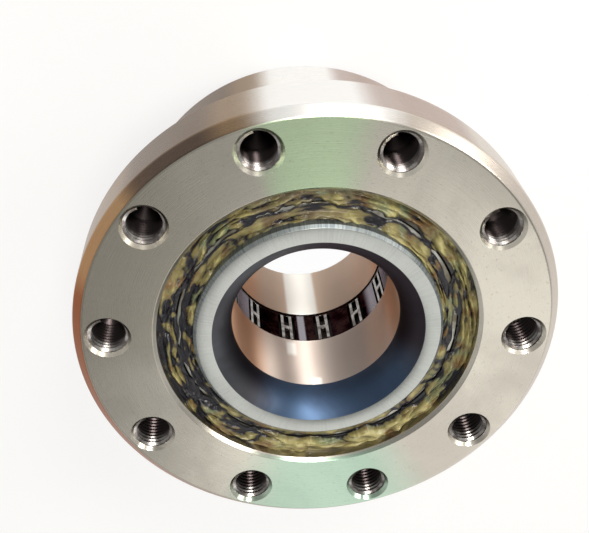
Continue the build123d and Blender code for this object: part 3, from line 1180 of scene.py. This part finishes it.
def makeSeal(name, front):
    corners = [(r, sealHeight(front, depth), rounding) for r, depth, rounding in seal["rubber"]]
    rubber = turned(f"sealRubber_{name}", softened(corners, 0.2), seal["segments"], "rubber")
    settled(rubber, "hub_outer", "seal_rubber", f"seal_rubber_{name}")

    inner = landRadius + seal["sleeveGap"]
    sleeve = inner + seal["sheet"]
    setback = seal["flingerSetback"]
    inside = seal["width"] - seal["sheet"] / 2
    corners = [
        (inner, sealHeight(front, inside), 0.1),
        (sleeve, sealHeight(front, inside), 0.1),
        (sleeve, sealHeight(front, setback + seal["sheet"]), 0.3),
        (flingerRadius, sealHeight(front, setback + seal["sheet"]), 0.25),
        (flingerRadius, sealHeight(front, setback), 0.25),
        (inner, sealHeight(front, setback), 0.6),
    ]
    flinger = turned(f"sealFlinger_{name}", softened(corners, 0.2), seal["segments"], "pressed")
    settled(flinger, "inner_rings", "pressed_steel", f"seal_flinger_{name}")


for name, front in (("front", True), ("rear", False)):
    makeSeal(name, front)
print("seals made")


# Grease on the front seal. One band turns with the outer ring and hangs over the lower one, which stays
# with the inner rings, so the ragged edge between them never meets it.

greaseBands = {
    "around": 900,              # points round each band and across it
    "across": 24,
    "overhang": 102.5,          # height that the outer band keeps above and the inner one below
    "clearAbove": 0.12,         # gaps of the two bands to that height
    "clearBelow": 0.15,
    "overhangFrom": 53.6,       # radius where the overhang begins
    "clearRun": 1.2,            # run over which the inner band comes down to it
    "clearRise": 2.2,
    "faceGap": 0.05,            # grease stays this far under the flange face
    "thinEdge": (0.25, 3.5),    # share of the grease at the ragged edge, and its growth from there
    "outerFoot": (58.2, 0.7, 0.3),              # least radius, distance from the edge, and lean
    "innerFoot": 0.1,
    "outer": {
        "name": "greaseOuter", "body": "hub_outer", "edge": 57.0, "wander": 2.4, "fixed": 64.92,
        "floor": 101.6, "base": 0.5, "rise": 3.3, "seed": 3.0,
    },
    "inner": {
        "name": "greaseInner", "body": "inner_rings", "edge": 56.0, "wander": 0.9, "fixed": 50.62,
        "floor": 101.3, "base": 0.62, "rise": 2.7, "seed": 11.0,
    },
    "cover": [                  # (azimuth, half width, more or less grease)
        (180, 50, 0.26),
        (-30, 35, 0.06),
        (95, 30, -0.16),
        (-105, 26, -0.12),
    ],
    "bare": (176, 40, 0.8),     # (azimuth, half width, slope) where the wall of the seat shows
    "bareFrom": 61.9,
    "lumps": [                  # (azimuth, radius, half length, half width, height) pushed to the edge
        (108, 63.4, 4.0, 2.0, 3.0),
        (-162, 63.6, 3.0, 1.6, 2.4),
        (-75, 60.5, 5.0, 1.8, 0.7),
    ],
}


def turnFrom(azimuth, angle):
    # Signed angle from this azimuth, within half a turn
    return (angle - radians(azimuth) + pi) % (2 * pi) - pi


def hump(azimuth, width, angle):
    # 1 at this azimuth, and 0 from the half width on
    return max(0, cos(min(pi / 2, abs(turnFrom(azimuth, angle)) * 90 / width)))


def greaseHeight(radius, angle, seed):
    # Smeared clumps, with folds drawn out along the ring
    def at(scale, drift):
        return Vector((cos(angle), sin(angle), 0)) * scale + Vector((0, 0, drift + seed))

    swirl = noise.noise(at(2.6, radius * 0.16))
    clump = noise.fractal(at(3.8, radius * 0.26 + swirl * 1.5), 1.0, 2.1, 3)
    fold = abs(noise.noise(at(6.5, radius * 0.42 + swirl * 2.4)))
    fine = noise.fractal(at(24, radius * 0.9), 1.0, 2.0, 3)
    height = 0.46 + 0.60 * clump + 0.9 * (fold - 0.2) + 0.10 * fine
    for azimuth, width, more in greaseBands["cover"]:
        height += more * hump(azimuth, width, angle)
    return min(1.15, max(-0.1, height))


def greaseEdge(band, angle):
    around = Vector((cos(angle), sin(angle), 0))
    sway = noise.fractal(around * 5.5 + Vector((0, 0, band["seed"] * 7)), 1.0, 2.0, 4)
    return band["edge"] + band["wander"] * max(-0.75, min(1, sway * 1.6))


def outerGrease(band, radius, angle, share):
    # Height and depth of the band that hangs over the lower one, with the lumps pushed to its edge
    azimuth, width, slope = greaseBands["bare"]
    sunk = slope * hump(azimuth, width, angle) * max(0, radius - greaseBands["bareFrom"])
    height = band["floor"] + band["base"] + band["rise"] * share - sunk
    height = max(greaseBands["overhang"] + greaseBands["clearAbove"], height)
    for azimuth, at, long, wide, tall in greaseBands["lumps"]:
        off = hypot(turnFrom(azimuth, angle) * radius / long, (radius - at) / wide)
        if off < 1:
            height += tall * (1 - off ** 2) ** 1.5
            share = max(share, 1 - off * 0.5)
    return min(height, flangeFace - greaseBands["faceGap"]), share


def innerGrease(band, radius, share):
    height = band["floor"] + band["base"] + band["rise"] * max(0.0, share)
    run, top = greaseBands["clearRun"], greaseBands["overhang"] - greaseBands["clearBelow"]
    if radius > greaseBands["overhangFrom"] - run:
        room = max(0.0, (greaseBands["overhangFrom"] - radius) / run)
        height = min(height, top + greaseBands["clearRise"] * room)
    return height, share


def makeGreaseBand(band):
    around, across = greaseBands["around"], greaseBands["across"]
    least, growth = greaseBands["thinEdge"]
    outward = band["fixed"] > band["edge"]
    work = bmesh.new()
    layer = work.verts.layers.float.new("depth")
    rows = []
    for i in range(around):
        angle = 2 * pi * i / around
        edge = greaseEdge(band, angle)
        points = []
        for j in range(across + 1):
            reach = j / across
            radius = edge + (band["fixed"] - edge) * reach
            share = greaseHeight(radius, angle, band["seed"]) * min(1, least + growth * reach)
            if outward:
                points.append((radius, *outerGrease(band, radius, angle, share)))
            else:
                points.append((radius, *innerGrease(band, radius, share)))
        points.append((band["fixed"], band["floor"], 0))
        if outward:
            start, beyond, lean = greaseBands["outerFoot"]
            foot = max(start, edge + beyond)
            points += [(foot, band["floor"], 0), (foot - lean, greaseBands["overhang"], 0)]
        else:
            points.append((edge - greaseBands["innerFoot"], band["floor"], 0))
        row = []
        for radius, height, depth in points:
            vert = work.verts.new((radius * cos(angle) * mm, radius * sin(angle) * mm, height * mm))
            vert[layer] = depth
            row.append(vert)
        rows.append(row)
    piece = closedRing(band["name"], work, rows, 60, "grease")
    settled(piece, band["body"], "seal_rubber")


makeGreaseBand(greaseBands["outer"])
makeGreaseBand(greaseBands["inner"])
print("grease smeared")


# Pieces inside, kept as the frame has them

kept = {"seal_case": "pressed", "seal_spring": "spring", "cage": "cage", "roller": "roller"}
for node, piece in frame["nodes"].items():
    for start, paint in kept.items():
        if node.startswith(start):
            dress(piece.data, [paint])
print("kept pieces painted")


# Stage, light and camera

stage = {
    "flat": 1600.0,             # radius of the flat floor
    "rim": 2600.0,
    "wall": 1500.0,
    "segments": 96,
    "colour": (0.88, 0.86, 0.83),
    "glow": 0.74,
    "wallGlow": 0.45,
    # The floor under the bore glows brighter, a painted pool of light
    "boreGlow": 0.97,
    "boreReach": boreRadius + 12,
}


def makeStage():
    profile = []
    for rise in range(0, 91, 6):
        reach = (stage["rim"] - stage["flat"]) * sin(radians(rise))
        profile.append((stage["flat"] + reach, stage["wall"] * (1 - cos(radians(rise)))))
    turns = [2 * pi * k / stage["segments"] for k in range(stage["segments"])]
    work = bmesh.new()
    rings = []
    for radius, height in profile:
        ring = [(radius * cos(t) * mm, radius * sin(t) * mm, height * mm) for t in turns]
        rings.append([work.verts.new(point) for point in ring])
    work.faces.new(rings[0])
    for low, high in zip(rings, rings[1:]):
        bridge(work, high, low)
    for face in work.faces:
        face.smooth = len(face.verts) == 4
    mesh = bpy.data.meshes.new("floor")
    work.to_mesh(mesh)
    work.free()
    paint = Paint("paleFloor", 0.0, 0.9, stage["colour"])
    paint.give({"Specular IOR Level": 0.0})
    tree = paint.tree
    glow = addNode(tree, "ShaderNodeEmission", {"Strength": 1.0})
    rays = addNode(tree, "ShaderNodeLightPath").outputs
    seen = most(most(rays["Is Camera Ray"], rays["Is Glossy Ray"]), rays["Is Transmission Ray"])
    share = spread(paint.height, 0.0, stage["wall"] * mm, stage["glow"], stage["wallGlow"])
    share = spread(paint.radius, boreRadius * mm, stage["boreReach"] * mm, stage["boreGlow"], share)
    parts = (times(seen, share), paint.shader.outputs[0], glow.outputs[0])
    lit = addNode(tree, "ShaderNodeMixShader", enumerate(parts))
    clear = addNode(tree, "ShaderNodeBsdfTransparent")
    back = addNode(tree, "ShaderNodeNewGeometry").outputs["Backfacing"]
    side = addNode(tree, "ShaderNodeMixShader", enumerate((back, lit.outputs[0], clear.outputs[0])))
    feed(tree.nodes["Material Output"].inputs["Surface"], side.outputs[0])
    paints["floor"] = paint.material
    placed("floor", mesh, "floor")


lamps = {                       # azimuth, rise, distance, diameter, watts and colour
    "key": (-30, 40, 1300, 340, 6.6, (1.0, 0.97, 0.93)),
    "ceiling": (-28, 68, 1300, 300, 6.2, (1.0, 0.98, 0.92)),
    "side": (-75, 30, 1400, 600, 6.5, (1.0, 0.96, 0.90)),
    "back": (-171, 39, 1500, 1450, 5.5, (1.0, 0.98, 0.95)),
}


def makeLamps():
    aim = Vector((0, 0, 60))
    for name, (azimuth, elevation, away, size, power, colour) in lamps.items():
        turn, rise = radians(azimuth), radians(elevation)
        spoke = Vector((cos(rise) * cos(turn), cos(rise) * sin(turn), sin(rise)))
        data = bpy.data.lights.new(name, "AREA")
        data.shape = "DISK"
        data.size = size * mm
        data.energy = power
        data.color = colour
        light = placed(name, data)
        light.location = (aim + spoke * away) * mm
        light.rotation_euler = spoke.to_track_quat("Z", "Y").to_euler()
        light.visible_camera = False


def makeWorld():
    world = bpy.data.worlds.new("room")
    scene.world = world
    world.use_nodes = True
    background = world.node_tree.nodes["Background"]
    background.inputs["Color"].default_value = (0.36, 0.36, 0.35, 1)
    background.inputs["Strength"].default_value = 1.0


view = {
    "place": (216.1, -28.1, 416.6),
    "back": (0.5055, -0.0802, 0.8591),
    "up": (0.8199, -0.2655, -0.5072),
    "lens": 57.3,
}


def makeCamera():
    back = Vector(view["back"]).normalized()
    right = Vector(view["up"]).cross(back).normalized()
    up = back.cross(right)
    data = bpy.data.cameras.new("camera")
    data.lens = view["lens"]
    data.sensor_width = 36
    data.clip_start = 0.01
    data.clip_end = 20
    camera = placed("camera", data)
    turn = Matrix((right, up, back)).transposed().to_4x4()
    camera.matrix_world = Matrix.Translation(Vector(view["place"]) * mm) @ turn
    scene.camera = camera


makeStage()
makeLamps()
makeWorld()
makeCamera()
scene.view_settings.view_transform = "Standard"
print("stage, lamps and camera set")
